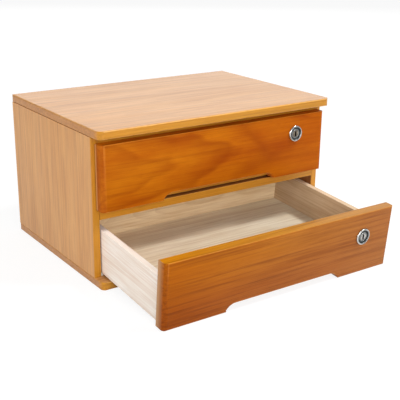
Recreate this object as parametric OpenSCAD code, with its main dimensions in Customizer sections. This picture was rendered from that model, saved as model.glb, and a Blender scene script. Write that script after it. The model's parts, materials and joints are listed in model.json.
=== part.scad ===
// Desktop cabinet with two lockable drawers.
// Units are millimetres. +X is to the right, +Y to the back, +Z up.
// The origin is the middle of the underside of the bottom panel.
// The upper drawer is shut. The lower drawer stands open and tips down on its front glides.

/* [Case] */
// Width of the case, which is also the width of the top and bottom panels
case_w = 360; // [330:5:420]
// Depth of the top and bottom panels
case_d = 254; // [246:2:300]
// Height of the case
case_h = 200; // [198:1:230]
// Thickness of the top and bottom panels
panel_t = 10.5; // [9:0.5:14]
// Thickness of the two side panels
side_t = 9.5; // [8.5:0.5:12]
// Thickness of the shelf between the drawers
divider_t = 10.5; // [9:0.5:13]
// Height of the lower bay, between the bottom panel and the divider
bay_h = 74.2; // [73:0.2:78]
// How far the top and bottom panels stand out in front of the sides
overhang = 20; // [18:0.5:26]
// Radius of the front corners of the top and bottom panels, seen from above
corner_r = 10; // [6:1:16]
// Radius of the back corners of the top and bottom panels, seen from above
back_corner_r = 3; // [2.5:0.5:6]
// Radius that eases the long edges of the top and bottom panels and the drawer fronts
edge_r = 1.8; // [1:0.2:2.4]
// Radius that eases the front edges of the sides, the divider and the rail
frame_edge_r = 1; // [0.5:0.25:1.5]

/* [Top rail and back] */
// Thickness of the rail under the top panel, front to back
rail_t = 9.5; // [8:0.5:12]
// Height of the rail under the top panel
rail_h = 16; // [14:0.5:18]
// Thickness of the back panel
back_t = 5; // [4:0.5:6]
// How far the back panel is set in from the back edges of the case
back_inset = 1; // [0.5:0.5:3]
// How far the back panel's upright edges are let into the side panels
back_rebate = 5; // [4:0.5:6]

/* [Drawer fronts] */
// Thickness of a drawer front
front_t = 15; // [13:0.5:18]
// Width of the side panel's edge that shows beside a drawer front
front_reveal = 5; // [4:0.5:7]
// Gap between the two drawer fronts when both are shut
front_gap = 1.2; // [0.8:0.1:2]
// Gap between the shut upper front and the top panel
head_gap = 7.8; // [5:0.2:12]
// Gap behind a shut front, to the edges of the side panels
front_seat_gap = 0.3; // [0.2:0.1:0.6]
// Radius of the upright front corners of a drawer front
front_corner_r = 8; // [3:0.5:9]
// How far a drawer front hangs below the underside of its box
front_drop = 1.2; // [0.6:0.1:2]

/* [Finger cut-out] */
// Length of the flat top of the finger cut-out
cut_flat = 148; // [110:2:180]
// Length of the curve at each end of the finger cut-out
cut_curve = 18; // [14:1:24]
// Height of the finger cut-out
cut_h = 8.6; // [7:0.2:9]
// Radius of the nose at the foot of each curve
cut_nose_r = 7; // [3:0.5:8]

/* [Drawer boxes] */
// Length of a drawer box behind its front
box_len = 213; // [200:1:216]
// Height of the boards of the lower drawer's box
box_h = 57.5; // [50:0.5:58]
// Room between the upper drawer's box and the rail above it
rail_gap = 16.6; // [12:0.2:24]
// Thickness of the side and back boards of a drawer box
board_t = 8; // [7.5:0.5:9]
// Play between a drawer box and the case at each side
box_play = 1.25; // [1:0.05:2]
// Thickness of the floor of a drawer box
floor_t = 4; // [3:0.5:5]
// Height of the floor's underside above the underside of its box
floor_up = 8.8; // [8.4:0.2:12]
// Depth of the grooves that hold the floor
groove_depth = 3; // [2:0.5:4]
// Radius that eases the box boards
board_edge_r = 0.8; // [0.4:0.1:1.2]

/* [Glides] */
// Diameter of a glide pin
glide_d = 8; // [7:0.5:10]
// Length of a glide pin
glide_len = 9; // [8:0.5:10]
// Height of a glide pin's top above its shelf
glide_h = 4; // [3.6:0.1:4.2]
// Distance of the glide pins behind the front edges of the side panels
glide_back = 6; // [5.5:0.5:8]

/* [Drawer travel] */
// How far a drawer pulls out
travel = 134; // [110:1:140]
// Height of the tipped lower front above the table when the drawer is fully out
table_gap = 0.5; // [0.3:0.1:3]

/* [Locks] */
// Distance from the right end of a front to its lock
lock_inset = 52.5; // [46:0.5:70]
// Distance from the top of the upper front to its lock
upper_lock_drop = 25; // [24:0.5:26]
// Distance from the top of the lower front to its lock
lower_lock_drop = 32; // [31:0.5:33]
// Outer diameter of the lock's ring
ring_d = 22; // [21:0.5:26]
// How far the ring stands out of the drawer front
ring_h = 2.4; // [2:0.2:3]
// Diameter of the lock's barrel
barrel_d = 16; // [15:0.5:17]
// Diameter of the turning plug
plug_d = 10.6; // [10:0.1:11]
// Length of the cam, from the plug's axis to its tip
cam_len = 24; // [23:0.5:25]
// Width of the cam
cam_w = 10; // [9:0.5:12]
// Thickness of the cam
cam_t = 2; // [1.5:0.1:2.5]
// Width of the square drive between plug and cam
drive_w = 5; // [4.5:0.1:5.5]
// Width of the key slot
key_w = 1.8; // [1.4:0.1:2.2]
// Height of the key slot
key_h = 7; // [6:0.5:8]
// Depth of the key slot
key_depth = 14; // [10:1:16]
// Width of the barrel's nut across its flats
nut_w = 21; // [20:0.5:23]
// Thickness of the barrel's nut
nut_t = 2.2; // [1.8:0.1:2.6]
// Diameter of the cam's screw
cam_screw_d = 3; // [2.5:0.1:3.2]

/* [Fixings] */
// Diameter of the wooden dowels
dowel_d = 5; // [4:0.5:5.5]
// Length of the dowels that hold the top and bottom panels
panel_dowel_len = 22; // [18:1:28]
// Length of the dowels that hold the divider and the rail
shelf_dowel_len = 20; // [16:1:26]
// How deep those dowels sit in the face of a board
dowel_face_depth = 6.5; // [5:0.5:7]
// Length of the dowels that hold a drawer front
front_dowel_len = 24; // [20:1:30]
// How deep those dowels sit in the drawer front
front_dowel_depth = 8; // [6:0.5:9]
// Diameter of the brads
brad_d = 1.4; // [1.2:0.1:1.6]
// Length of the brads
brad_len = 18; // [14:1:22]

/* [Hidden] */
$fn = 48;

// Clearances
fit = 0.05;            // around dowels, brads, screws, plugs and glides
glide_play = 0.2;      // between a glide and the drawer box on it
groove_play = 0.15;    // around a panel in its groove
cam_gap = 0.8;         // behind the rail, and around the cam in the divider
barrel_gap = 0.2;      // between the barrel's end and the cam
over = 1;              // how far a cutting tool runs past the face it cuts
sharp = 0.01;          // radius of an edge that butts against another board

// Colours
stain = "#c77f35";
raw_wood = "#e8d8c2";
plywood = "#cba873";
beech = "#d9b88a";
nickel = "#c9c9c6";
zinc = "#b0a98f";
nylon = "#eeeeea";

// The case, side to side
side_face_x = case_w / 2 - side_t;
dowel_x = case_w / 2 - side_t / 2;

// The case, front to back
side_front_y = overhang - case_d / 2;
side_back_y = case_d / 2;
back_y = side_back_y - back_inset - back_t;
rail_y = side_front_y + rail_t / 2;

// Heights of a drawer above the shelf that it stands on
box_z = glide_h + glide_play;
front_z = box_z - front_drop;

// The case, bottom to top
top_z = case_h - panel_t;
divider_z = panel_t + bay_h;
lower_shelf_z = panel_t;
upper_shelf_z = divider_z + divider_t;
rail_z = top_z - rail_h / 2;

// Drawers, as they stand when shut. Heights are above the shelf that they stand on
front_w = case_w - 2 * front_reveal;
upper_front_top = top_z - head_gap - upper_shelf_z;
lower_front_top = front_z + bay_h + divider_t - front_gap;
front_back_y = side_front_y - front_seat_gap;
front_face_y = front_back_y - front_t;
box_half_w = side_face_x - box_play;
box_in_w = box_half_w - board_t;
box_back_y = front_back_y + box_len;
box_in_y = box_back_y - board_t;
upper_box_top = top_z - rail_h - rail_gap - upper_shelf_z;
lower_box_top = box_z + box_h;
floor_z = box_z + floor_up;
floor_top_z = floor_z + floor_t;
board_x = box_half_w - board_t / 2;

// The axis that a drawer tips about
pivot_y = side_front_y + glide_back;
pivot_z = glide_h - glide_d / 2;

// The tip at which the lower front's foot is table_gap above the table
foot_y = pivot_y - front_face_y + travel;
foot_z = front_z - pivot_z;
foot_fall = lower_shelf_z + pivot_z - table_gap;
tip = atan2(foot_z, foot_y) + asin(foot_fall / norm([foot_y, foot_z]));

// Locks
lock_x = front_w / 2 - lock_inset;
upper_lock_z = upper_front_top - upper_lock_drop;
lower_lock_z = lower_front_top - lower_lock_drop;
cam_y = side_front_y + rail_t + cam_gap;
barrel_end_y = cam_y - barrel_gap;
barrel_shave = 2;                // how much narrower the barrel is across its flats
barrel_flat = barrel_d - barrel_shave;
ring_lip = 2.6;                  // width of the ring's rounded lip
ring_well = 1.4;                 // depth of the well inside the lip
ring_crest = 0.5;                // from the lip's crest to the start of its slopes
ring_ease = 0.2;                 // fall of the lip over that width
ring_foot = 0.6;                 // height of the ring's upright outer edge
plug_recess = 0.9;               // how far the plug's face lies behind the lip
cam_hub_d = 14;
drive_len = barrel_gap + cam_t;
cam_screw_len = 9;
screw_head_d = 6;
screw_head_t = 2;
washer_d = 8;
washer_t = 0.6;
cam_rise = divider_z - lower_shelf_z - lower_lock_z;
mortise_w = 2 * (sqrt(pow(cam_len, 2) - pow(cam_rise, 2)) + cam_gap);
mortise_h = cam_len + cam_gap - cam_rise;

// Finger cut-out: an arc for the nose and an arc for the sweep meet at the turn
nose_sink = 0.3;                 // how far the nose's arc would reach below the foot of the front
turn_lap = 0.1;                  // how far the two arcs lap over each other at the turn
cut_angle = 2 * atan((cut_h + nose_sink) / cut_curve);
sweep_r = cut_curve / sin(cut_angle) - cut_nose_r;
nose_x = cut_flat / 2 + cut_curve;
turn_x = nose_x - cut_nose_r * sin(cut_angle);
turn_z = cut_nose_r * (1 - cos(cut_angle)) - nose_sink;

// Places of the fixings
dowel_edge = 22;                 // from the front and back edges of the sides
front_dowel_rise = 10;           // from the floor's top
front_dowel_edge = 12;           // from the top of the side boards
box_brad_foot = 5;               // from the foot of the side boards
box_brad_edge = 9;               // from the top of the side boards
back_brad_edge = 25;             // from the top and bottom panels
panel_dowel_y = [side_front_y + dowel_edge, (side_front_y + back_y) / 2, back_y - dowel_edge];
shelf_dowel_y = [side_front_y + dowel_edge, back_y - dowel_edge];
back_brad_z = [panel_t + back_brad_edge, (panel_t + top_z) / 2, top_z - back_brad_edge];
back_brad_x = side_face_x + back_rebate / 2;

// Shapes -----------------------------------------------------------------

// A rectangle between two corners. r holds a radius for each corner, counted round from the first
module rounded(from, to, r) {
  big = max(r);
  difference() {
    translate(from) square(to - from);
    for (i = [0:3]) {
      right = i == 1 || i == 2;
      high = i > 1;
      corner = [right ? to.x : from.x, high ? to.y : from.y];
      translate(corner) mirror([right ? 1 : 0, 0]) mirror([0, high ? 1 : 0]) corner_cut(r[i]);
    }
  }
}

// What is cut off a corner at the origin to round it
module corner_cut(r) {
  difference() {
    translate([-over, -over]) square(r + over);
    translate([r, r]) circle(r = r);
  }
}

// Turns a flat shape to face the front, so that its x and y become X and Z
module upright(y0, y1) {
  translate([0, y1, 0]) rotate([90, 0, 0]) linear_extrude(y1 - y0) children();
}

// Turns a flat shape to face the side, so that its x and y become Y and Z
module sideways(x0, x1) {
  translate([x0, 0, 0]) rotate([90, 0, 90]) linear_extrude(x1 - x0) children();
}

// Lays a flat shape down between two heights
module flat(z0, z1) {
  translate([0, 0, z0]) linear_extrude(z1 - z0) children();
}

// A board between two corners. plan, end and face hold the radii of the edges along Z, X and Y
module board(lo, hi, plan, end, face) {
  intersection() {
    flat(lo.z, hi.z) rounded([lo.x, lo.y], [hi.x, hi.y], plan);
    sideways(lo.x - over, hi.x + over) rounded([lo.y, lo.z], [hi.y, hi.z], end);
    upright(lo.y - over, hi.y + over) rounded([lo.x, lo.z], [hi.x, hi.z], face);
  }
}

// A box between two corners
module block(lo, hi) {
  translate(lo) cube(hi - lo);
}

module rod_x(x0, x1, r) {
  translate([x0, 0, 0]) rotate([0, 90, 0]) cylinder(h = x1 - x0, r = r);
}

module rod_y(y0, y1, r) {
  translate([0, y0, 0]) rotate([-90, 0, 0]) cylinder(h = y1 - y0, r = r);
}

// Draws the same thing at the left and, mirrored, at the right
module both_sides() {
  children();
  mirror([1, 0, 0]) children();
}

// Places of the drawers. What is drawn shut on a shelf at height 0 is put in its bay
module in_upper_bay() {
  translate([0, 0, upper_shelf_z]) children();
}

module in_lower_bay() {
  translate([0, pivot_y, lower_shelf_z + pivot_z])
    rotate([tip, 0, 0])
      translate([0, -pivot_y - travel, -pivot_z]) children();
}

// Fixings ----------------------------------------------------------------

// Upright dowels between the side panels and the top and bottom panels. extra widens them to holes
module panel_dowel_set(extra) {
  both_sides() for (y = panel_dowel_y) translate([dowel_x, y, 0]) {
    r = dowel_d / 2 + extra;
    z = panel_t - dowel_face_depth;
    translate([0, 0, z - extra]) cylinder(h = panel_dowel_len + 2 * extra, r = r);
    translate([0, 0, case_h - z - panel_dowel_len - extra])
      cylinder(h = panel_dowel_len + 2 * extra, r = r);
  }
}

// Level dowels from the side panels into the ends of the divider
module divider_dowel_set(extra) {
  both_sides() for (y = shelf_dowel_y) translate([side_face_x, y, divider_z + divider_t / 2])
    rod_x(dowel_face_depth - shelf_dowel_len - extra, dowel_face_depth + extra, dowel_d / 2 + extra);
}

// Level dowels from the side panels into the ends of the rail
module rail_dowel_set(extra) {
  both_sides() translate([side_face_x, rail_y, rail_z])
    rod_x(dowel_face_depth - shelf_dowel_len - extra, dowel_face_depth + extra, dowel_d / 2 + extra);
}

// Brads that hold the back panel to the side panels
module back_brad_set(extra) {
  both_sides() for (z = back_brad_z) translate([back_brad_x, back_y + back_t, z])
    rod_y(-brad_len - extra, extra, brad_d / 2 + extra);
}

// Dowels from a drawer front into the ends of the side boards of a box with its top at a height
module front_dowel_set(box_top, extra) {
  rows = [floor_top_z + front_dowel_rise, box_top - front_dowel_edge];
  both_sides() for (z = rows) translate([board_x, front_back_y - front_dowel_depth, z])
    rod_y(-extra, front_dowel_len + extra, dowel_d / 2 + extra);
}

// Brads through the side boards into the ends of the back board and of the floor's batten
module box_brad_set(box_top, extra) {
  rows = [box_z + box_brad_foot, (floor_top_z + box_top) / 2, box_top - box_brad_edge];
  both_sides() for (z = rows) translate([box_half_w, box_back_y - board_t / 2, z])
    rod_x(-brad_len - extra, extra, brad_d / 2 + extra);
  both_sides() translate([box_half_w, front_back_y + board_t / 2, box_z + floor_up / 2])
    rod_x(-brad_len - extra, extra, brad_d / 2 + extra);
}

// The pocket that a pair of glides lies in, in a shelf at height 0
module glide_pockets() {
  both_sides() translate([board_x - glide_len / 2 - fit, pivot_y, pivot_z])
    rod_x(0, glide_len + 2 * fit, glide_d / 2 + fit);
}

// Case -------------------------------------------------------------------

// The top and bottom panels have the same outline
module case_panel(z) {
  board([-case_w / 2, -case_d / 2, z], [case_w / 2, case_d / 2, z + panel_t],
        [corner_r, corner_r, back_corner_r, back_corner_r],
        [edge_r, edge_r, edge_r, edge_r], [edge_r, edge_r, edge_r, edge_r]);
}

module top_panel() color(stain) difference() {
  case_panel(top_z);
  panel_dowel_set(fit);
}

module bottom_panel() color(stain) difference() {
  case_panel(0);
  panel_dowel_set(fit);
  translate([0, 0, lower_shelf_z]) glide_pockets();
}

// A side panel, drawn at the right
module side_panel() {
  r = frame_edge_r;
  difference() {
    flat(panel_t, top_z)
      rounded([side_face_x, side_front_y], [case_w / 2, side_back_y], [r, r, r, r / 2]);
    block([side_face_x - over, back_y, panel_t - over],
          [side_face_x + back_rebate, side_back_y + over, top_z + over]);
    panel_dowel_set(fit);
    divider_dowel_set(fit);
    rail_dowel_set(fit);
    back_brad_set(fit);
  }
}

module right_side() color(stain) side_panel();

module left_side() color(stain) mirror([1, 0, 0]) side_panel();

module divider() color(stain) difference() {
  r = frame_edge_r;
  sideways(-side_face_x, side_face_x)
    rounded([side_front_y, divider_z], [back_y, upper_shelf_z], [r, r / 2, r / 2, r]);
  divider_dowel_set(fit);
  translate([0, 0, upper_shelf_z]) glide_pockets();
  translate([lock_x - mortise_w / 2, cam_y - cam_gap, divider_z - over])
    cube([mortise_w, cam_t + 2 * cam_gap, mortise_h + over]);
}

module top_rail() color(stain) difference() {
  r = frame_edge_r;
  sideways(-side_face_x, side_face_x)
    rounded([side_front_y, top_z - rail_h], [side_front_y + rail_t, top_z], [r, r, r / 2, r / 2]);
  rail_dowel_set(fit);
}

module back_panel() color(plywood) difference() {
  w = side_face_x + back_rebate - groove_play;
  block([-w, back_y, panel_t + groove_play], [w, back_y + back_t, top_z - groove_play]);
  back_brad_set(fit);
}

module panel_dowels() color(beech) panel_dowel_set(0);

module divider_dowels() color(beech) divider_dowel_set(0);

module rail_dowels() color(beech) rail_dowel_set(0);

module back_brads() color(zinc) back_brad_set(0);

// Glides -----------------------------------------------------------------

// The two nylon pins that a drawer runs on, on a shelf at height 0
module glide_pair() {
  both_sides() translate([board_x - glide_len / 2, pivot_y, pivot_z])
    rod_x(0, glide_len, glide_d / 2);
}

module upper_glides() color(nylon) in_upper_bay() glide_pair();

module lower_glides() color(nylon) translate([0, 0, lower_shelf_z]) glide_pair();

// Drawers ----------------------------------------------------------------

// The finger cut-out, above the foot of the front at height 0
module finger_cut() {
  difference() {
    union() {
      translate([-nose_x, -over]) square([2 * nose_x, turn_z + over]);
      translate([-cut_flat / 2, 0]) square([cut_flat, cut_h]);
      for (side = [0, 1]) mirror([side, 0]) intersection() {
        translate([cut_flat / 2, cut_h - sweep_r]) circle(r = sweep_r);
        translate([cut_flat / 2, 0]) square([turn_x - cut_flat / 2, cut_h]);
      }
    }
    for (side = [-1, 1]) translate([side * nose_x, cut_nose_r - nose_sink])
      circle(r = cut_nose_r + turn_lap);
  }
}

// A drawer front with its top at a height, over a box and round a lock at theirs
module drawer_front(top, box_top, lock_z) {
  hw = front_w / 2;
  r = board_edge_r;
  difference() {
    intersection() {
      flat(front_z - over, top + over)
        rounded([-hw, front_face_y], [hw, front_back_y], [front_corner_r, front_corner_r, r, r]);
      sideways(-hw - over, hw + over)
        rounded([front_face_y, front_z], [front_back_y, top], [edge_r, r, r, edge_r]);
      upright(front_face_y - over, front_back_y + over) difference() {
        rounded([-hw, front_z], [hw, top], [edge_r, edge_r, edge_r, edge_r]);
        translate([0, front_z]) finger_cut();
      }
    }
    front_dowel_set(box_top, fit);
    floor_groove();
    translate([lock_x, 0, lock_z]) rod_y(front_face_y - over, front_back_y + over, barrel_d / 2 + fit);
  }
}

// A side board of a drawer box, drawn at the right
module side_board(top) {
  r = board_edge_r;
  difference() {
    board([box_in_w, front_back_y, box_z], [box_half_w, box_back_y, top],
          [sharp, sharp, r, r / 2], [sharp, r, r, sharp], [r, r, r, r]);
    front_dowel_set(top, fit);
    box_brad_set(top, fit);
    floor_groove();
  }
}

module back_board(top) {
  r = board_edge_r;
  difference() {
    sideways(-box_in_w, box_in_w)
      rounded([box_in_y, box_z], [box_back_y, top], [r, r, r, r]);
    box_brad_set(top, fit);
    floor_groove();
  }
}

// The batten under the floor, behind the front. It shows through the finger cut-out
module floor_batten(top) {
  r = board_edge_r;
  difference() {
    sideways(-box_in_w, box_in_w)
      rounded([front_back_y, box_z], [front_back_y + board_t, floor_z], [r / 2, r, sharp, sharp]);
    box_brad_set(top, fit);
  }
}

// What the floor's edges need, in the front and in the boards
module floor_groove() {
  w = box_in_w + groove_depth;
  block([-w, front_back_y - groove_depth, floor_z - groove_play],
        [w, box_in_y + groove_depth, floor_top_z + groove_play]);
}

module floor_board() {
  w = box_in_w + groove_depth - groove_play;
  block([-w, front_back_y - groove_depth + groove_play, floor_z],
        [w, box_in_y + groove_depth - groove_play, floor_top_z]);
}

module upper_front() color(stain) in_upper_bay()
  drawer_front(upper_front_top, upper_box_top, upper_lock_z);

module upper_left_board() color(raw_wood) in_upper_bay() mirror([1, 0, 0]) side_board(upper_box_top);

module upper_right_board() color(raw_wood) in_upper_bay() side_board(upper_box_top);

module upper_back_board() color(raw_wood) in_upper_bay() back_board(upper_box_top);

module upper_floor() color(raw_wood) in_upper_bay() floor_board();

module upper_floor_batten() color(stain) in_upper_bay() floor_batten(upper_box_top);

module upper_front_dowels() color(beech) in_upper_bay() front_dowel_set(upper_box_top, 0);

module upper_box_brads() color(zinc) in_upper_bay() box_brad_set(upper_box_top, 0);

module lower_front() color(stain) in_lower_bay()
  drawer_front(lower_front_top, lower_box_top, lower_lock_z);

module lower_left_board() color(raw_wood) in_lower_bay() mirror([1, 0, 0]) side_board(lower_box_top);

module lower_right_board() color(raw_wood) in_lower_bay() side_board(lower_box_top);

module lower_back_board() color(raw_wood) in_lower_bay() back_board(lower_box_top);

module lower_floor() color(raw_wood) in_lower_bay() floor_board();

module lower_floor_batten() color(stain) in_lower_bay() floor_batten(lower_box_top);

module lower_front_dowels() color(beech) in_lower_bay() front_dowel_set(lower_box_top, 0);

module lower_box_brads() color(zinc) in_lower_bay() box_brad_set(lower_box_top, 0);

// Locks ------------------------------------------------------------------

// The fixed part of a lock, about its axis: the ring in front, and the barrel behind it
module lock_body(z) {
  lip_y = front_face_y - ring_h;
  translate([lock_x, 0, z]) difference() {
    union() {
      translate([0, lip_y, 0]) rotate([-90, 0, 0]) rotate_extrude() ring_profile();
      intersection() {
        rod_y(front_face_y - over / 2, barrel_end_y, barrel_d / 2);
        block([-barrel_flat / 2, front_face_y - over, -barrel_d],
              [barrel_flat / 2, barrel_end_y + over, barrel_d]);
      }
    }
    rod_y(lip_y - over, barrel_end_y + over, plug_d / 2 + fit);
  }
}

// Half a section of the ring. x is the distance from the axis, y goes back from the lip's crest.
// The bore is cut afterwards, so the section only has to start inside it
module ring_profile() {
  outer = ring_d / 2;
  crest = outer - ring_lip / 2;
  inner = plug_d / 4;
  polygon([[inner, ring_well], [outer - ring_lip, ring_well], [crest - ring_crest, ring_ease],
           [crest, 0], [crest + ring_crest, ring_ease], [outer, ring_h - ring_foot],
           [outer, ring_h], [inner, ring_h]]);
}

module lock_nut(z) {
  translate([lock_x, front_back_y, z]) difference() {
    rotate([-90, 30, 0]) cylinder(h = nut_t, r = nut_w / 2 / cos(30), $fn = 6);
    rod_y(-over, nut_t + over, barrel_d / 2 + fit);
  }
}

module lock_plug(z) {
  face_y = front_face_y - ring_h + plug_recess;
  translate([lock_x, 0, z]) difference() {
    union() {
      rod_y(face_y, barrel_end_y, plug_d / 2);
      translate([-drive_w / 2, barrel_end_y - over, -drive_w / 2])
        cube([drive_w, drive_len + over, drive_w]);
    }
    translate([-key_w / 2, face_y - over, -key_h / 2]) cube([key_w, key_depth + over, key_h]);
    rod_y(barrel_end_y + drive_len - cam_screw_len, barrel_end_y + drive_len + over,
          cam_screw_d / 2 + fit);
  }
}

// The cam points to the left. A quarter turn lifts it to lock the drawer
module lock_cam(z) {
  translate([lock_x, 0, z]) upright(cam_y, cam_y + cam_t) difference() {
    union() {
      circle(d = cam_hub_d);
      translate([cam_w / 2 - cam_len, -cam_w / 2]) square([cam_len - cam_w / 2, cam_w]);
      translate([cam_w / 2 - cam_len, 0]) circle(d = cam_w);
    }
    square(drive_w + 2 * fit, center = true);
  }
}

module cam_screw(z) {
  seat_y = barrel_end_y + drive_len;
  translate([lock_x, 0, z]) {
    rod_y(seat_y - cam_screw_len + fit, seat_y + washer_t, cam_screw_d / 2);
    rod_y(seat_y, seat_y + washer_t, washer_d / 2);
    rod_y(seat_y + washer_t, seat_y + washer_t + screw_head_t, screw_head_d / 2);
  }
}

module upper_lock_body() color(nickel) in_upper_bay() lock_body(upper_lock_z);

module upper_lock_nut() color(zinc) in_upper_bay() lock_nut(upper_lock_z);

module upper_lock_plug() color(nickel) in_upper_bay() lock_plug(upper_lock_z);

module upper_lock_cam() color(zinc) in_upper_bay() lock_cam(upper_lock_z);

module upper_cam_screw() color(zinc) in_upper_bay() cam_screw(upper_lock_z);

module lower_lock_body() color(nickel) in_lower_bay() lock_body(lower_lock_z);

module lower_lock_nut() color(zinc) in_lower_bay() lock_nut(lower_lock_z);

module lower_lock_plug() color(nickel) in_lower_bay() lock_plug(lower_lock_z);

module lower_lock_cam() color(zinc) in_lower_bay() lock_cam(lower_lock_z);

module lower_cam_screw() color(zinc) in_lower_bay() cam_screw(lower_lock_z);

// The parts --------------------------------------------------------------

top_panel();
bottom_panel();
left_side();
right_side();
divider();
top_rail();
back_panel();
panel_dowels();
divider_dowels();
rail_dowels();
back_brads();
upper_glides();
lower_glides();
upper_front();
upper_left_board();
upper_right_board();
upper_back_board();
upper_floor();
upper_floor_batten();
upper_front_dowels();
upper_box_brads();
upper_lock_body();
upper_lock_nut();
upper_lock_plug();
upper_lock_cam();
upper_cam_screw();
lower_front();
lower_left_board();
lower_right_board();
lower_back_board();
lower_floor();
lower_floor_batten();
lower_front_dowels();
lower_box_brads();
lower_lock_body();
lower_lock_nut();
lower_lock_plug();
lower_lock_cam();
lower_cam_screw();
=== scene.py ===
"""A desktop cabinet with two lockable drawers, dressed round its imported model."""
import json
import math

import bmesh
import bpy
from mathutils import Euler, Matrix, Vector

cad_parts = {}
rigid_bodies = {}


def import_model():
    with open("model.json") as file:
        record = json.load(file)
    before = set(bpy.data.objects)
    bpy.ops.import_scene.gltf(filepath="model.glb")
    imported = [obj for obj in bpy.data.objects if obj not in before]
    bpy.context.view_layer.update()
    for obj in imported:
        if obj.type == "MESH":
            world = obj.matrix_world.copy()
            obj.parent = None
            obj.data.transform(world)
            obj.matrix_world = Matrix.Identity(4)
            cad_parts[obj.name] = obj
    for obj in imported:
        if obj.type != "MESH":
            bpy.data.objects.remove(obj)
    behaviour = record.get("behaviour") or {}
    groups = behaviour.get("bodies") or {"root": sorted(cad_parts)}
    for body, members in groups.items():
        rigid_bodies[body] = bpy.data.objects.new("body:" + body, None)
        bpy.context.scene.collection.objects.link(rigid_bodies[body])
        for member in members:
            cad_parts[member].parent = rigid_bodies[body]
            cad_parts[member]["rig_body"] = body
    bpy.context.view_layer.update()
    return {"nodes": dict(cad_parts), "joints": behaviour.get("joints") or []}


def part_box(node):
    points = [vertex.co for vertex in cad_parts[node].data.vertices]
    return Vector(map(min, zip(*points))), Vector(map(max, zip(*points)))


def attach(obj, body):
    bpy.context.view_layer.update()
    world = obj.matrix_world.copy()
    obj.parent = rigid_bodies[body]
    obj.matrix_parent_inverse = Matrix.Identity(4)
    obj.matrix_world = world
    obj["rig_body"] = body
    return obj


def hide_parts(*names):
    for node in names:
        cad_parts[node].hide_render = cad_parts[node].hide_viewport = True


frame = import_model()
scene = bpy.context.scene
nodes = frame["nodes"]
joints = {joint["name"]: joint for joint in frame["joints"]}

MM = 0.001
pull = joints["lower_drawer_slide"]["axis"]
# How far each drawer tips down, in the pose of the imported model
TIPS = {"upper": 0.0, "lower": math.atan2(-pull[2], -pull[1])}


# Shader building --------------------------------------------------------

class Shader:
    """A material's node tree, with short calls to add to it."""

    def __init__(self, name):
        self.material = bpy.data.materials.new(name)
        self.material.use_nodes = True
        self.tree = self.material.node_tree
        self.tree.nodes.clear()
        self.output = self.tree.nodes.new("ShaderNodeOutputMaterial")

    def put(self, socket, value):
        if isinstance(value, bpy.types.NodeSocket):
            self.tree.links.new(value, socket)
        else:
            socket.default_value = value

    def node(self, kind, inputs=(), **settings):
        made = self.tree.nodes.new("ShaderNode" + kind)
        for key, value in settings.items():
            setattr(made, key, value)
        for key, value in dict(inputs).items():
            self.put(made.inputs[key], value)
        return made

    def math(self, operation, *values):
        made = self.node("Math", operation=operation)
        for socket, value in zip(made.inputs, values):
            self.put(socket, value)
        return made.outputs[0]

    def times(self, a, b):
        return self.math("MULTIPLY", a, b)

    def vector(self, operation, *values):
        made = self.node("VectorMath", operation=operation)
        for socket, value in zip(made.inputs, values):
            self.put(socket, value)
        return made.outputs["Value" if operation == "LENGTH" else "Vector"]

    def scaled(self, vector, factor):
        inputs = {0: vector, "Scale": factor}
        return self.node("VectorMath", inputs, operation="SCALE").outputs[0]

    def axes(self, vector):
        """The parts of a vector, by the name of their axis."""
        return self.node("SeparateXYZ", {0: vector}).outputs

    def placed(self, vector, move=(0, 0, 0), turn=(0, 0, 0), scale=(1, 1, 1)):
        inputs = {"Vector": vector, "Location": move, "Rotation": turn, "Scale": scale}
        return self.node("Mapping", inputs).outputs[0]

    def span(self, value, low, high):
        """0 to 1 as a value goes from low to high."""
        inputs = {"Value": value, "From Min": low, "From Max": high}
        return self.node("MapRange", inputs).outputs[0]

    def between(self, share, low, high):
        """low to high as a share goes from 0 to 1."""
        inputs = {"Value": share, "To Min": low, "To Max": high}
        return self.node("MapRange", inputs).outputs[0]

    def ramp(self, value, *stops):
        """Maps a value to greys. Each stop is (position, grey)."""
        made = self.node("ValToRGB")
        bar = made.color_ramp
        while len(bar.elements) < len(stops):
            bar.elements.new(0.5)
        for element, (place, grey) in zip(bar.elements, stops):
            element.position = place
            element.color = (grey, grey, grey, 1)
        self.put(made.inputs[0], value)
        return made.outputs[0]

    def step(self, value, low, high):
        """A grey that goes from 0 to 1 between two positions."""
        return self.ramp(value, (low, 0.0), (high, 1.0))

    def noise(self, vector, scale=1.0, detail=2.0, rough=0.5, output="Fac"):
        inputs = {"Vector": vector, "Scale": scale, "Detail": detail, "Roughness": rough}
        return self.node("TexNoise", inputs).outputs[output]

    def mix(self, share, a, b, blend="MIX"):
        made = self.node("Mix", data_type="RGBA", blend_type=blend)
        self.put(made.inputs[0], share)
        self.put(made.inputs[6], a)
        self.put(made.inputs[7], b)
        return made.outputs[2]

    def tint(self, share, colour, by):
        """Multiplies a colour by a tint, as far as the share says."""
        return self.mix(share, colour, self.mix(1.0, colour, by, "MULTIPLY"))

    def finish(self, shader):
        self.tree.links.new(shader, self.output.inputs["Surface"])
        return self.material


def srgb(r, g, b):
    """A colour given as it shows on a screen, 0 to 255, as the shader wants it."""
    def linear(v):
        v /= 255
        return v / 12.92 if v <= 0.04045 else ((v + 0.055) / 1.055) ** 2.4
    return (linear(r), linear(g), linear(b), 1.0)


# Wood -------------------------------------------------------------------

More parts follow.
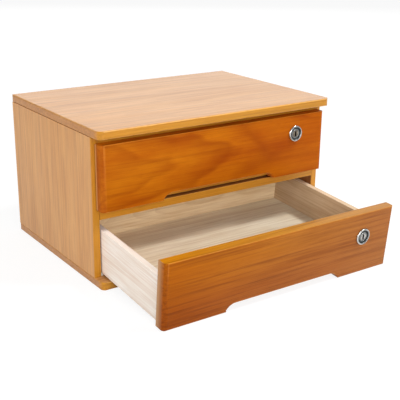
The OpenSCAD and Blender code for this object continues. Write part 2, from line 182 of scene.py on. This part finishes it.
# How each wood looks. light, dark and line are the colours of its figure, and rim is the colour of
# its eased edges, where the stain is worn thin and a painted highlight catches them. edge, top and
# end are tints for the faces that look to the front or back, up or down, and along the grain; top
# is painted light where it lightens and painted shade where it darkens. clouds, streaks, lines,
# fibres and pores say how strongly each of these shows. rough, gloss and coat are the finish
PLAIN = dict(
    edge=(1, 1, 1, 1), top=(1, 1, 1, 1), clouds=1.0, streaks=0.45, fibres=0.3, pores=0.3, coat=0.0)
# GOLDEN's light and dark are the stain made paler by a painted sheen, for the faces that look up
# and to the sides; its edge tint brings the faces that look to the front and back to the deeper
# stain
GOLDEN = dict(
    PLAIN, light=srgb(224, 166, 98), dark=srgb(208, 146, 80), line=srgb(164, 108, 58),
    rim=srgb(232, 176, 92), edge=(0.86, 0.76, 0.18, 1), end=(0.8, 0.72, 0.62, 1),
    clouds=0.7, lines=0.45, rough=0.38, gloss=0.3, coat=0.1)
# The divider's top face is darkened, as painted shade where it shows through the upper front's
# cut-out
SHELF_IN_SHADE = dict(GOLDEN, top=(0.6, 0.46, 0.36, 1))
# The drawer box's looks are one raw wood at different brightness: the palest for the left board,
# whose outer face the light reaches, and darker, browner copies for the back board, the floor and
# the inside, as painted shade. The right board's is darkest, with a painted highlight on its top
# edge
RAW = dict(
    PLAIN, light=srgb(252, 246, 238), dark=srgb(242, 230, 216), line=srgb(218, 188, 168),
    rim=srgb(252, 246, 236), end=(0.88, 0.82, 0.74, 1), lines=0.45, rough=0.62, gloss=0.25)
INNER = dict(
    PLAIN, light=srgb(246, 226, 190), dark=srgb(232, 206, 164), line=srgb(192, 152, 108),
    rim=srgb(246, 230, 204), end=(0.88, 0.82, 0.74, 1), lines=0.4, rough=0.62, gloss=0.2)
SHADED_SIDE = dict(
    INNER, light=srgb(212, 190, 158), dark=srgb(196, 168, 134), line=srgb(158, 122, 90),
    top=(1.35, 1.4, 1.45, 1))
BASE = dict(
    INNER, light=srgb(246, 231, 204), dark=srgb(232, 212, 180), line=srgb(190, 156, 120))
VENEER = dict(
    PLAIN, light=srgb(222, 188, 142), dark=srgb(202, 162, 112), line=srgb(160, 114, 70),
    rim=srgb(214, 180, 134), end=(0.8, 0.74, 0.66, 1), lines=0.35, rough=0.6, gloss=0.25)
BEECH = dict(
    PLAIN, light=srgb(222, 190, 150), dark=srgb(206, 168, 124), line=srgb(168, 124, 84),
    rim=srgb(230, 204, 168), end=(0.84, 0.78, 0.7, 1), lines=0.3, rough=0.55, gloss=0.3)

# The ends of the drawer fronts turn paler towards the back, and back is that colour. The last
# three numbers say how strongly their ends show a dark line where the paler part starts, a dark
# strip at the back, which is painted shade of the gap to the case, and a light line at the front
# arris, which is a painted highlight. The fronts' top tints are painted light on their upper faces
ORANGE = dict(
    PLAIN, light=srgb(198, 118, 14), dark=srgb(172, 86, 5), line=srgb(126, 44, 2),
    rim=srgb(216, 142, 56), top=(1.2, 1.2, 1.0, 1), end=(0.94, 0.86, 1.6, 1),
    clouds=0.9, lines=0.22, rough=0.42, gloss=0.06,
    back=srgb(196, 138, 84), end_line=0.7, gap_shade=0.85, turn=0.1)
RUSSET = dict(
    PLAIN, light=srgb(157, 80, 11), dark=srgb(137, 62, 5), line=srgb(100, 40, 4),
    rim=srgb(212, 146, 66), top=(1.4, 1.85, 2.1, 1), end=(0.9, 0.86, 0.9, 1),
    clouds=0.4, lines=0.5, rough=0.42, gloss=0.08,
    back=srgb(184, 138, 96), end_line=0.0, gap_shade=0.0, turn=0.0)

# What the figure has beside its rings: how fine each feature is along the grain (X) and across it,
# in cycles per metre, the detail and roughness of its noise, and the values of the noise between
# which it sets in
FEATURES = {
    "clouds": dict(scale=(14, 40, 40), detail=3.0, rough=0.5, sets_in=(0.3, 0.7)),
    "streaks": dict(scale=(4, 90, 90), detail=3.0, rough=0.55, sets_in=(0.42, 0.72)),
    "lines": dict(scale=(9, 330, 330), detail=3.0, rough=0.6, sets_in=(0.46, 0.68)),
    "fibres": dict(scale=(14, 800, 800), detail=3.0, rough=0.6, sets_in=(0.45, 0.8)),
    "pores": dict(scale=(110, 2600, 2600), detail=1.0, rough=0.5, sets_in=(0.64, 0.74)),
}
# The parts of the figure in the order in which they are laid on, each with its colour in the look
FIGURE = [("clouds", "dark"), ("streaks", "dark"), ("lines", "line"), ("rings", "line"),
          ("fibres", "line"), ("pores", "line")]
RING_DRIFT = (6, 15, 15)            # how fine the wander of the rings is, in the same way
PACE_SCALE = 0.7                    # how fast their width changes, per ring
PACE_REACH = 1.6                    # how far that moves a ring, in rings
LATE_RISE = 0.11                    # how long the late wood takes to turn dark, in rings
YEAR_LEAST = 0.3                    # how far the faintest ring shows, of 1
WEAR_AND_GLINT_SCALE = 160.0

# From where a face starts to count as looking one way to where it fully does, as the square of its
# normal's part. The wide ones take in the rounded edges
SQUARE_ON = (0.6, 0.95)
EDGE_WIDE = (0.06, 0.35)
END_WIDE = (0.02, 0.2)
ONE_WAY = (0.5, 0.9)                # the same for the part itself, where its sign counts

# Painted shade for the inner faces of the case's sides, in the bays
BAY_SHADE = (0.42, 0.32, 0.26, 1)    # for the inner faces of the case's sides
FAR_REACH = 0.16                    # the far tint rises within this distance of the middle, in m
CREST_SPAN = (-0.02, 0.025)         # the crest's tint rises between these heights, from the middle
BACK_SHARE = 0.85                   # how far a front's inner face takes the paler wood
END_LINE_DEPTH = 0.3                    # from the start of the paler layer to its dark line, in mm
END_LINE_HALF = 0.35                    # half the line's width, in mm
GAP_SHADE_DEPTH = 6.3                    # from the middle of a front to the dark strip, in mm

GRAIN_TURN = {"x": (0, 0, 0), "y": (0, 0, math.pi / 2), "z": (0, math.pi / 2, 0)}


def along_grain(s, coords, node, along, tip):
    """Coordinates from the middle of a node, with its grain along X."""
    turn = GRAIN_TURN[along]
    low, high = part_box(node)
    level = Matrix.Rotation(-tip, 3, "X") @ ((low + high) / 2)
    centre = Euler(turn).to_matrix() @ level
    untipped = s.placed(coords.outputs["Object"], turn=(-tip, 0, 0))
    return s.placed(untipped, move=tuple(-centre), turn=turn)


def ring_bands(s, place, ring, heart=(60, 0), lean=(0, 0), bend=4.0, fade=0.93):
    """Growth rings, round a pith that passes heart (mm) off the middle and leans (degrees).

    ring is their width and bend is how far they wander, both in mm. fade is the share of a ring's
    width at which its late wood is darkest.
    """
    tilt = (0, math.radians(lean[0]), math.radians(lean[1]))
    aimed = s.placed(place, move=(0, -heart[0] * MM, -heart[1] * MM), turn=tilt)
    drift = s.noise(s.placed(place, scale=RING_DRIFT), 1.0, 2.6, 0.5, "Color")
    drift = s.scaled(s.vector("SUBTRACT", drift, (0.5, 0.5, 0.5)), bend * MM * 2)
    across = s.vector("MULTIPLY", s.vector("ADD", aimed, drift), (0, 1, 1))
    radius = s.math("DIVIDE", s.vector("LENGTH", across), ring * MM)
    pace = {"W": radius, "Scale": PACE_SCALE, "Detail": 1.0}
    pace = s.node("TexNoise", pace, noise_dimensions="1D").outputs["Fac"]
    count = s.math("ADD", radius, s.times(pace, PACE_REACH))
    band = s.ramp(s.math("FRACT", count),
                  (0.0, 0.0), (0.45, 0.25), (fade - LATE_RISE, 0.9), (fade, 1.0), (1.0, 0.0))
    year = s.node("TexWhiteNoise", {"W": s.math("FLOOR", count)}, noise_dimensions="1D")
    shown = s.math("MULTIPLY_ADD", year.outputs["Value"], 1 - YEAR_LEAST, YEAR_LEAST)
    return s.times(band, shown)


def figured(s, place, rings, look, contrast):
    """The wood's colour, then the noise of each feature and how far each shows, by their names."""
    strength = dict(look, rings=contrast)
    noise = {}
    shows = {"rings": rings}
    for name, kind in FEATURES.items():
        stretched = s.placed(place, scale=kind["scale"])
        noise[name] = s.noise(stretched, 1.0, kind["detail"], kind["rough"])
        shows[name] = s.step(noise[name], *kind["sets_in"])
    colour = look["light"]
    for name, shade in FIGURE:
        colour = s.mix(s.times(shows[name], strength[name]), colour, look[shade])
    return colour, noise, shows


def lengthwise(s, place, colour, far, crest):
    """Tints a colour towards the high end of the grain and, at the low end, towards the top. On
    the drawer fronts these tints are painted light and shade.
    """
    at = s.axes(place)
    share = s.span(at["X"], -FAR_REACH, FAR_REACH)
    colour = s.tint(share, colour, far)
    if crest:
        upper = s.times(s.span(at["Z"], *CREST_SPAN), s.math("SUBTRACT", 1.0, share))
        colour = s.tint(upper, colour, crest)
    return colour


def end_bands(s, place, cut, look, backing):
    """The end of a drawer front, which turns paler between two depths (mm), with a dark line and a
    painted shade at its back.
    """
    start, full = backing
    depth = s.axes(place)["Y"]
    cut = s.mix(s.span(depth, start * MM, full * MM), cut, look["back"])
    end_line = s.math("COMPARE", depth, (start + END_LINE_DEPTH) * MM, END_LINE_HALF * MM)
    cut = s.mix(s.times(end_line, look["end_line"]), cut, look["line"])
    # Painted shade: the back of the end darkens, as the shadow in the gap between the front and
    # the case
    gap_shade = s.math("GREATER_THAN", depth, GAP_SHADE_DEPTH * MM)
    return s.mix(s.times(gap_shade, look["gap_shade"]), cut, look["line"])


def worn_highlit_edges(s, place, rise, endwise):
    """How far edges are worn and catch a painted highlight: most where a face slants at 45
    degrees, and little on end grain.
    """
    slant = s.times(s.times(rise, s.math("SUBTRACT", 1.0, rise)), 4.0)
    wear_and_glint = s.ramp(s.noise(place, WEAR_AND_GLINT_SCALE, 4.0, 0.6), (0.3, 0.35), (0.65, 1.0))
    eased = s.times(s.step(slant, 0.25, 0.8), wear_and_glint)
    return s.times(eased, s.ramp(endwise, (0.0, 0.75), (0.15, 0.1)))


def wood(node, along, look, contrast, tip=0.0, far=None, crest=None, backing=None, inside=0,
         **rings):
    """Solid wood for a node, with its grain along one axis.

    contrast is how strongly the rings show. far is the tint at the high end of the grain, and
    crest, which needs far, is the tint of the upper part at the other end; on the drawer fronts
    both are painted light and shade. backing is for a drawer front, and gives the depths (mm
    behind its middle) between which its ends turn paler. inside is 1 where the inner face looks
    along X, and -1 where it looks against it; that face gets painted shade.
    """
    s = Shader("wood_" + node)
    coords = s.node("TexCoord")
    place = along_grain(s, coords, node, along, tip)
    bands = ring_bands(s, place, **rings)
    colour, noise, shows = figured(s, place, bands, look, contrast)
    if far:
        colour = lengthwise(s, place, colour, far, crest)

    # The faces. The squares of the normal's parts tell which way a face looks, without a sign
    normal = coords.outputs["Normal"]
    squares = s.axes(s.vector("MULTIPLY", normal, normal))
    endwise = squares[along.upper()]
    rise = squares["Z"]
    colour = s.tint(s.step(squares["Y"], *EDGE_WIDE), colour, look["edge"])
    cut = s.mix(1.0, colour, look["end"], "MULTIPLY")
    if backing:
        behind = s.times(s.step(s.axes(normal)["Y"], *ONE_WAY), BACK_SHARE)
        colour = s.mix(behind, colour, s.mix(bands, INNER["dark"], INNER["line"]))
        # Painted highlight: a light line where the end's rounding meets the face
        arris_highlight = s.ramp(squares["X"], (0.002, 0.0), (0.02, 1.0), (0.08, 0.0))
        colour = s.mix(s.times(arris_highlight, look["turn"]), colour, look["rim"])
        cut = end_bands(s, place, cut, look, backing)
    colour = s.mix(s.step(endwise, *(END_WIDE if backing else SQUARE_ON)), colour, cut)
    # Painted shade on the inner face of a case side, in the bays
    if inside:
        inward = s.times(s.axes(normal)["X"], inside)
        colour = s.tint(s.step(inward, *ONE_WAY), colour, BAY_SHADE)
    # Faces that look up or down take the top tint: painted light on the fronts and on the right
    # drawer board's top edge, and painted shade on the divider's top
    colour = s.tint(s.step(rise, *SQUARE_ON), colour, look["top"])
    # The eased edges take the rim colour: stain worn thin, with a painted highlight
    colour = s.mix(worn_highlit_edges(s, place, rise, endwise), colour, look["rim"])

    # The relief: fibres stand up, and pores and late wood sink
    height = s.math("ADD", s.times(noise["fibres"], 0.6), s.times(shows["pores"], -0.5))
    height = s.math("ADD", height, s.times(bands, -0.25))
    bump = s.node("Bump", {"Height": height, "Strength": 0.35, "Distance": 0.12 * MM})
    base = s.node("BsdfPrincipled", {
        "Base Color": colour,
        "Roughness": s.between(noise["streaks"], look["rough"] - 0.05, look["rough"] + 0.09),
        "IOR": 1.5, "Specular IOR Level": look["gloss"],
        "Coat Weight": look["coat"], "Coat Roughness": 0.22,
        "Normal": bump.outputs[0]})
    return s.finish(base.outputs[0])


# Metal and plastic ------------------------------------------------------

# How fine the marks on metal and plastic are, in cycles per metre
BRUSH_SCALE = (900, 60, 900)
SMUDGE_SCALE = 180.0
PIT_SCALE = 1500.0
SCUFF_SCALE = (1200, 200, 200)


def metal(name, bright, dull, rough):
    """Plated metal with a fine brushing, small pits and smudges."""
    s = Shader(name)
    place = s.node("TexCoord").outputs["Object"]
    smudge = s.noise(place, SMUDGE_SCALE, 4.0, 0.6)
    lines = s.noise(s.placed(place, scale=BRUSH_SCALE), 1.0, 3.0, 0.6)
    pits = s.step(s.noise(place, PIT_SCALE, 1.0), 0.66, 0.74)
    colour = s.mix(s.step(smudge, 0.35, 0.7), bright, dull)
    colour = s.mix(s.times(pits, 0.5), colour, dull)
    height = s.math("SUBTRACT", s.times(lines, 0.4), s.times(pits, 0.6))
    bump = s.node("Bump", {"Height": height, "Strength": 0.3, "Distance": 0.04 * MM})
    base = s.node("BsdfPrincipled", {
        "Base Color": colour, "Metallic": 1.0,
        "Roughness": s.between(smudge, rough - 0.05, rough + 0.12),
        "Normal": bump.outputs[0]})
    return s.finish(base.outputs[0])


def nylon():
    """White plastic with fine scuffs."""
    s = Shader("nylon_white")
    place = s.node("TexCoord").outputs["Object"]
    scuff = s.noise(s.placed(place, scale=SCUFF_SCALE), 1.0, 3.0, 0.6)
    colour = s.mix(s.step(scuff, 0.5, 0.8), srgb(238, 238, 232), srgb(206, 200, 186))
    bump = s.node("Bump", {"Height": scuff, "Strength": 0.2, "Distance": 0.05 * MM})
    base = s.node("BsdfPrincipled", {
        "Base Color": colour, "Roughness": 0.38, "IOR": 1.53, "Subsurface Weight": 0.15,
        "Subsurface Scale": 2 * MM, "Normal": bump.outputs[0]})
    return s.finish(base.outputs[0])


# Pieces -----------------------------------------------------------------

SMOOTH_TO = math.radians(32)    # edges bent more than this stay sharp


def dress(node, material):
    """Gives a node that keeps its shape its material."""
    data = nodes[node].data
    data.materials.clear()
    data.materials.append(material)


def dress_board(node, along, look, **figure):
    dress(node, wood(node, along, look, **figure))


def object_of(bm, name, materials):
    """Makes an object from a bmesh, and frees the bmesh."""
    data = bpy.data.meshes.new(name)
    bm.normal_update()
    bm.to_mesh(data)
    bm.free()
    piece = bpy.data.objects.new(name, data)
    scene.collection.objects.link(piece)
    for material in materials:
        data.materials.append(material)
    return piece


def stand_in(piece, node):
    """Puts a piece in a node's place, on the node's body."""
    for face in piece.data.polygons:
        face.use_smooth = True
    piece.data.set_sharp_from_angle(angle=SMOOTH_TO)
    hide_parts(node)
    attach(piece, nodes[node]["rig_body"])


# Drawer fronts: the arrises of the finger cut-out are eased by hand on the real thing
CUT_EASE = 3.0 * MM
CUT_REACH = 9.5 * MM        # the cut-out lies within this height of the foot
CUT_HALF = 97 * MM          # and within this distance of the middle
FLUSH = 0.05 * MM           # a point this near a face is on it
WELD = 0.002 * MM           # points this near each other are one
FLAT = math.radians(0.4)    # faces that bend less than this are one
CORNER = math.radians(60)   # an arris bends more than this


def eased_front(drawer, material):
    """A drawer front with the arrises of its finger cut-out rounded."""
    node = drawer + "_front"
    level = Matrix.Rotation(-TIPS[drawer], 4, "X")
    bm = bmesh.new()
    bm.from_mesh(nodes[node].data)
    bm.transform(level)
    bmesh.ops.remove_doubles(bm, verts=bm.verts, dist=WELD)
    bmesh.ops.dissolve_limit(bm, angle_limit=FLAT, verts=bm.verts, edges=bm.edges)
    foot = min(v.co.z for v in bm.verts)
    front = min(v.co.y for v in bm.verts)
    back = max(v.co.y for v in bm.verts)

    def on_cut_out(edge):
        a, b = (v.co for v in edge.verts)
        flush = any(abs(a.y - y) < FLUSH and abs(b.y - y) < FLUSH for y in (front, back))
        low = max(a.z, b.z) < foot + CUT_REACH and max(abs(a.x), abs(b.x)) < CUT_HALF
        bent = len(edge.link_faces) == 2 and edge.calc_face_angle() > CORNER
        return flush and low and bent

    arrises = [edge for edge in bm.edges if on_cut_out(edge)]
    bmesh.ops.bevel(bm, geom=arrises, offset=CUT_EASE, segments=5, profile=0.5, affect="EDGES",
                    clamp_overlap=True)
    bm.transform(level.inverted())
    stand_in(object_of(bm, drawer + "_front_board", [material]), node)


# Locks: each is lofted through rings about its own axis, with y going into the drawer, in mm
RING_POINTS = 72
# The finishes are copies of one nickel: the first is a painted highlight, the second plain, the
# third and fourth painted shade in the well and the key slot, and the last is the plug's face
HIGHLIT, SATIN, SHADED, SLOT_SHADE, FACE = range(5)    # the finishes, in the order of their materials

axis_y = joints["upper_lock_turn"]["pos_m"][1]
body_low, body_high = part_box("upper_lock_body")
plug_low, plug_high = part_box("upper_lock_plug")
RING_R = (body_high.z - body_low.z) / 2 / MM
LIP_Y = (body_low.y - axis_y) / MM
BARREL_END = (body_high.y - axis_y) / MM
PLUG_R = (plug_high.z - plug_low.z) / 2 / MM
PLUG_Y = (plug_low.y - axis_y) / MM
DRIVE_END = (plug_high.y - axis_y) / MM

LIP_HALF = 1.4              # half the width of the ring's rounded lip
LIP_RISE = 1.3
WELL_Y = LIP_Y + 1.4        # the flat between the lip and the plug
BORE_R = PLUG_R + 0.05
BARREL_R = 8.0
BARREL_FLAT = 7.0           # half the width across the barrel's flats
THREAD_START = 15.2
THREAD_PITCH = 0.8
THREAD_DEPTH = 0.35
KEY_X = 0.9                 # half the width of the key slot
KEY_Z = 3.5                 # half its height
KEY_DEPTH = 14
DRIVE_HALF = 2.5            # half the width of the square that turns the cam


def round_ring(y, r, flat=None):
    """A circle at depth y. flat limits its half width, as the flats on a threaded barrel do."""
    points = []
    for i in range(RING_POINTS):
        turn = 2 * math.pi * i / RING_POINTS
        x = r * math.cos(turn)
        if flat:
            x = max(-flat, min(flat, x))
        points.append(Vector((x, y, r * math.sin(turn))))
    return points


def square_ring(y, half_x, half_z, power):
    """A rounded rectangle at depth y. A higher power gives tighter corners."""
    points = []
    for i in range(RING_POINTS):
        turn = 2 * math.pi * i / RING_POINTS
        c = math.cos(turn)
        s = math.sin(turn)
        x = math.copysign(abs(c) ** (2 / power), c) * half_x
        z = math.copysign(abs(s) ** (2 / power), s) * half_z
        points.append(Vector((x, y, z)))
    return points


def loft(name, rings, materials, closed, place):
    """A solid through rings. Each ring is (points, the finish of the surface after it)."""
    bm = bmesh.new()
    loops = [[bm.verts.new(point * MM) for point in points] for points, _ in rings]
    last = len(loops) if closed else len(loops) - 1
    for i in range(last):
        here = loops[i]
        there = loops[(i + 1) % len(loops)]
        for k in range(RING_POINTS):
            n = (k + 1) % RING_POINTS
            face = bm.faces.new((here[k], here[n], there[n], there[k]))
            face.material_index = rings[i][1]
    if not closed:
        bm.faces.new(loops[0])
        bm.faces.new(list(reversed(loops[-1])))
    bmesh.ops.recalc_face_normals(bm, faces=bm.faces)
    bm.transform(place)
    return object_of(bm, name, materials)


def ring_and_barrel():
    """From the end of the bore out to the face, over the lip and back along the thread."""
    # The bore, the bead round its mouth, and the well, which takes painted shade
    face = [(BARREL_END, BORE_R, SHADED), (WELL_Y + 0.1, BORE_R, SATIN),
            (WELL_Y - 0.25, BORE_R + 0.2, SATIN), (WELL_Y - 0.3, BORE_R + 0.5, SATIN),
            (WELL_Y - 0.25, BORE_R + 0.8, SATIN), (WELL_Y, BORE_R + 1.0, SHADED),
            (WELL_Y, RING_R - 2.9, SHADED)]
    # The lip: painted shade on its inner slope, then plain, then a painted highlight on its outer
    # slope; the ring's outer side after it takes painted shade
    for degrees in range(0, 181, 15):                # the rounded lip
        turn = math.radians(degrees)
        y = LIP_Y + LIP_RISE - LIP_RISE * math.sin(turn)
        r = RING_R - LIP_HALF - LIP_HALF * math.cos(turn)
        face.append((y, r, SHADED if degrees < 45 else SATIN if degrees < 90 else HIGHLIT))
    face += [(-0.3, RING_R, SHADED), (-0.02, RING_R - 0.15, SHADED)]

    barrel = [(0.0, BARREL_R)]
    for i in range(int((BARREL_END - 0.6 - THREAD_START) / THREAD_PITCH)):
        y = THREAD_START + THREAD_PITCH * i
        barrel += [(y, BARREL_R), (y + THREAD_PITCH / 2, BARREL_R - THREAD_DEPTH)]
    barrel += [(BARREL_END - 0.5, BARREL_R), (BARREL_END, BARREL_R - 0.5)]
    return ([(round_ring(y, r), finish) for y, r, finish in face]
            + [(round_ring(y, r, BARREL_FLAT), SATIN) for y, r in barrel])


def plug_and_drive():
    """From the bottom of the key slot out to the face, and back to the square behind."""
    # The key slot takes painted shade, and rings on the plug's face take painted shade and a
    # painted highlight
    # Each row of the slot: depth, how much wider than the slot, power of its corners, finish
    slot = [(KEY_DEPTH, 0, 6, SLOT_SHADE), (0.7, 0, 6, SLOT_SHADE), (0.2, 0.3, 5, SHADED),
            (0.02, 0.5, 4, FACE)]
    # Each row of the face: depth, how far inside the plug's edge, finish
    face = [(0, 0.95, SATIN), (0.1, 0.85, SHADED), (0.3, 0.75, SHADED), (0.3, 0.6, SATIN),
            (0.05, 0.45, HIGHLIT), (0, 0.35, HIGHLIT), (0.08, 0.12, HIGHLIT), (0.3, 0, SHADED)]
    drive = [(BARREL_END, DRIVE_HALF), (DRIVE_END - 0.2, DRIVE_HALF),
             (DRIVE_END, DRIVE_HALF - 0.2)]
    return ([(square_ring(PLUG_Y + y, KEY_X + wider, KEY_Z + wider, power), finish)
             for y, wider, power, finish in slot]
            + [(round_ring(PLUG_Y + y, PLUG_R - inset), finish) for y, inset, finish in face]
            + [(round_ring(BARREL_END, PLUG_R), SATIN)]
            + [(square_ring(y, half, half, 16), SATIN) for y, half in drive])


def lock(drawer, finishes):
    """A lock's ring with its barrel, and its plug, in the places that the joint gives."""
    place = (Matrix.Translation(joints[drawer + "_lock_turn"]["pos_m"])
             @ Matrix.Rotation(TIPS[drawer], 4, "X"))
    ring = loft(drawer + "_lock_ring", ring_and_barrel(), finishes, True, place)
    stand_in(ring, drawer + "_lock_body")
    plug = loft(drawer + "_key_plug", plug_and_drive(), finishes, False, place)
    stand_in(plug, drawer + "_lock_plug")


# Camera, stage and lights -----------------------------------------------

# The camera: its place in metres, its angles in degrees, its lens and sensor in mm, and its shift
# in widths of the sensor
CAMERA_PLACE = (-0.5965, -0.9341, 0.4298)
AZIMUTH = 34.52
ELEVATION = 18.91
ROLL = 0.55
LENS = 73.14
SENSOR = 36
SHIFT = (0.00704, -0.00296)

ROOM_LIGHT = 0.38           # the strength of the even light from all round
PAPER_GLOW = 0.86           # what the floor shows the camera beside the light that it reflects
PAPER_SEEN = (0.2, 0.2, 0.2, 1)     # its colour for the camera, so that shadows stay faint
# Each lamp: name, place, what it aims at, width and height (m), and power (W)
LAMPS = [
    ("key_light", (0.95, -0.85, 1.9), (0, -0.1, 0.1), (0.45, 0.45), 30),
    ("front_light", (-0.6, -2.1, 0.8), (0, 0, 0.1), (1.2, 0.8), 24),
    ("left_light", (-1.9, -0.3, 0.5), (0, -0.1, 0.1), (1.0, 0.6), 10),
    ("back_light", (1.7, 2.5, 1.1), (0, 0, 0.2), (2.4, 1.2), 16),
]


def make_camera():
    azimuth, elevation, roll = map(math.radians, (AZIMUTH, ELEVATION, ROLL))
    data = bpy.data.cameras.new("camera")
    data.lens = LENS
    data.sensor_width = SENSOR
    data.shift_x, data.shift_y = SHIFT
    data.clip_start = 0.05
    camera = bpy.data.objects.new("camera", data)
    scene.collection.objects.link(camera)
    turn = (Matrix.Rotation(-azimuth, 4, "Z") @ Matrix.Rotation(math.pi / 2 - elevation, 4, "X")
            @ Matrix.Rotation(roll, 4, "Z"))
    camera.matrix_world = Matrix.Translation(CAMERA_PLACE) @ turn
    scene.camera = camera


def make_stage():
    """A white paper floor. What the camera sees of it is white, less the object's shadow."""
    bpy.ops.mesh.primitive_plane_add(size=8)
    floor = bpy.context.object
    floor.name = "floor"
    s = Shader("floor_paper")
    path = s.node("LightPath").outputs
    to_eye = s.math("MAXIMUM", path["Is Camera Ray"], path["Is Glossy Ray"])
    to_eye = s.math("MAXIMUM", to_eye, path["Is Transmission Ray"])
    grain = s.noise(s.node("TexCoord").outputs["Object"], 60.0, 4.0)
    paper = s.mix(grain, (0.78, 0.78, 0.775, 1), (0.82, 0.82, 0.815, 1))
    shade = s.mix(to_eye, paper, PAPER_SEEN)
    lit = s.node("BsdfDiffuse", {"Color": shade})
    glow = s.node("Emission", {"Color": (1, 1, 1, 1), "Strength": s.times(to_eye, PAPER_GLOW)})
    both = s.node("AddShader", {0: lit.outputs[0], 1: glow.outputs[0]})
    floor.data.materials.append(s.finish(both.outputs[0]))


def make_world():
    """An even room, which the camera sees as plain white."""
    world = bpy.data.worlds.new("studio")
    scene.world = world
    world.use_nodes = True
    tree = world.node_tree
    tree.nodes.clear()
    path = tree.nodes.new("ShaderNodeLightPath")
    room = tree.nodes.new("ShaderNodeMapRange")
    room.inputs["To Min"].default_value = ROOM_LIGHT
    room.inputs["To Max"].default_value = 1.0
    tree.links.new(path.outputs["Is Camera Ray"], room.inputs["Value"])
    sky = tree.nodes.new("ShaderNodeBackground")
    sky.inputs["Color"].default_value = (1, 1, 1, 1)
    tree.links.new(room.outputs[0], sky.inputs["Strength"])
    out = tree.nodes.new("ShaderNodeOutputWorld")
    tree.links.new(sky.outputs[0], out.inputs["Surface"])


def softbox(name, place, aim, size, power):
    lamp = bpy.data.lights.new(name, "AREA")
    lamp.shape = "RECTANGLE"
    lamp.size, lamp.size_y = size
    lamp.energy = power
    box = bpy.data.objects.new(name, lamp)
    scene.collection.objects.link(box)
    box.location = place
    box.rotation_euler = (Vector(aim) - Vector(place)).to_track_quat("-Z", "Y").to_euler()


scene.view_settings.view_transform = "Standard"
make_camera()
make_stage()
make_world()
for lamp_row in LAMPS:
    softbox(*lamp_row)


# The cabinet ------------------------------------------------------------

dress_board("top_panel", "x", GOLDEN, ring=5, heart=(-70, -160), lean=(0, 3), bend=5, contrast=0.3,
            far=(0.9, 0.92, 0.96, 1))
dress_board("bottom_panel", "x", GOLDEN, ring=6, heart=(40, 130), lean=(0, -2), contrast=0.3)
dress_board("left_side", "z", GOLDEN, ring=3.2, heart=(150, 90), lean=(1, 0), bend=2,
            contrast=0.24, inside=1)
dress_board("right_side", "z", GOLDEN, ring=5, heart=(-130, -60), lean=(-2, 0), contrast=0.3,
            inside=-1)
dress_board("divider", "x", SHELF_IN_SHADE, ring=6, heart=(90, 60), contrast=0.3)
dress_board("top_rail", "x", GOLDEN, ring=6, heart=(60, -80), contrast=0.3)
dress_board("back_panel", "x", VENEER, ring=8, heart=(-24, 20), lean=(0, 4), bend=16, contrast=0.5)
for fixing, axis in (("panel_dowels", "z"), ("divider_dowels", "x"), ("rail_dowels", "x")):
    dress_board(fixing, axis, BEECH, ring=3, contrast=0.25)

# The fronts' far and crest tints: the upper front darkens and reddens to the right as painted
# shade; the lower front pales to the right as a painted reflection, and its left end is paler at
# the top as painted light
front_woods = {
    "upper": wood("upper_front", "x", ORANGE, ring=12, heart=(64, 4), lean=(-1, -6), bend=16,
                  contrast=0.46, fade=0.78, far=(0.88, 0.68, 0.2, 1), backing=(1.7, 4.5)),
    "lower": wood("lower_front", "x", RUSSET, ring=3.2, heart=(50, 190), lean=(1, 0), bend=2.5,
                  contrast=0.24, far=(1.25, 1.95, 12.0, 1), crest=(1.34, 1.58, 0.6, 1),
                  backing=(-4, 5), tip=TIPS["lower"]),
}
# The lock's nickel in lit and shaded copies: a painted highlight, plain, painted shade, and the
# painted shade of the key slot
lock_finishes = [
    metal("nickel_highlit", srgb(226, 226, 222), srgb(186, 187, 184), 0.18),
    metal("nickel_satin", srgb(158, 160, 158), srgb(112, 114, 113), 0.26),
    metal("nickel_shaded", srgb(78, 82, 82), srgb(46, 48, 50), 0.36),
    metal("nickel_slot_shade", srgb(26, 26, 28), srgb(12, 12, 14), 0.5),
]
# The plugs are alike: the upper's face is darker and browner as painted shade, and the lower's
# paler as a painted reflection
plug_faces = {
    "upper": metal("nickel_plug_in_shade", srgb(150, 138, 120), srgb(98, 88, 76), 0.24),
    "lower": metal("nickel_plug_reflecting", srgb(214, 210, 204), srgb(160, 158, 152), 0.2),
}
zinc = metal("zinc_plate", srgb(196, 192, 176), srgb(158, 150, 128), 0.34)
slide_nylon = nylon()
dress("back_brads", zinc)

# Each board of a drawer box: its name, the axis of its grain, its look and its figure
BOX_BOARDS = [
    ("left_board", "y", RAW,
     dict(ring=4, heart=(60, 130), lean=(1.5, 0), bend=3, contrast=0.35)),
    ("right_board", "y", SHADED_SIDE,
     dict(ring=4, heart=(-75, 130), lean=(1.5, 0), bend=3, contrast=0.35)),
    ("back_board", "x", INNER,
     dict(ring=4, heart=(26, 10), lean=(3, 5), bend=14, contrast=0.35)),
    ("floor", "x", BASE,
     dict(ring=4, heart=(180, -110), lean=(0, 1), bend=3, contrast=0.35,
          far=(0.89, 0.97, 1.04, 1))),
    ("floor_batten", "x", GOLDEN, dict(ring=5, heart=(70, 40), contrast=0.3)),
    ("front_dowels", "y", BEECH, dict(ring=3, contrast=0.25)),
]
for drawer, tip in TIPS.items():
    for board, axis, look, figure in BOX_BOARDS:
        dress_board("%s_%s" % (drawer, board), axis, look, tip=tip, **figure)
    eased_front(drawer, front_woods[drawer])
    lock(drawer, lock_finishes + [plug_faces[drawer]])
    for fixing in ("lock_nut", "lock_cam", "cam_screw", "box_brads"):
        dress("%s_%s" % (drawer, fixing), zinc)
    dress(drawer + "_glides", slide_nylon)
